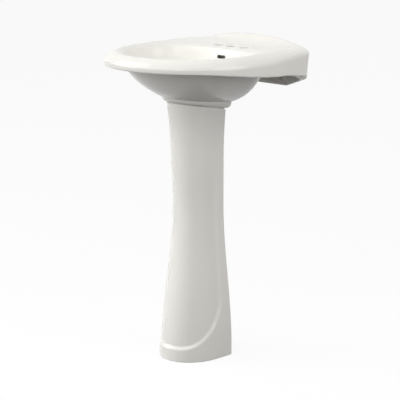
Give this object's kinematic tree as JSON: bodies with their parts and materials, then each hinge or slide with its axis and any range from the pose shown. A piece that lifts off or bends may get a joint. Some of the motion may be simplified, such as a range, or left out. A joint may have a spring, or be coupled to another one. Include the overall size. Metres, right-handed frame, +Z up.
{
  "type": "pedestal sink",
  "caption": "Pedestal bathroom sink: oval china bowl with a rolled rim and arched back on a slim open-backed pedestal, with a push-button waste and a trap inside.",
  "frame": {"origin": "on the floor, under the middle of the basin's box", "axes": "+Z up, +Y to the wall behind the sink, +X to the right of someone who faces the wall"},
  "size_m": [0.484, 0.48, 0.8931],
  "materials": {
    "china": "glossy warm white glaze",
    "chrome": "polished chrome plate",
    "brass": "bare machined brass",
    "rubber": "matt black rubber",
    "seat_foam": "dark closed-cell sealing strip",
    "nylon": "off-white nylon",
    "cartridge": "black moulded plastic",
    "spring_steel": "bright spring wire"
  },
  "bodies": {
    "sink": {"basin": "china", "pedestal": "china", "seat_gasket": "seat_foam", "drain_body": "chrome", "drain_flange_seal": "rubber", "drain_gasket": "rubber", "drain_washer": "nylon", "drain_locknut": "brass", "click_cartridge": "cartridge", "click_spring": "spring_steel", "tailpiece": "chrome", "tailpiece_seal": "rubber", "tailpiece_nut": "chrome", "trap_j_bend": "chrome", "trap_inlet_washer": "nylon", "trap_inlet_nut": "chrome", "trap_elbow": "chrome", "trap_union_washer": "rubber", "trap_union_nut": "chrome", "trap_outlet_washer": "nylon", "trap_outlet_nut": "chrome"},
    "stopper": {"stopper_cap": "chrome", "stopper_seal": "rubber", "stopper_stem": "brass"}
  },
  "joints": [
    {"name": "stopper_slide", "type": "slide", "parent": "sink", "child": "stopper", "axis": [0, 0, 1], "range_m": [0, 0.01], "deforming": ["click_spring"]}
  ]
}
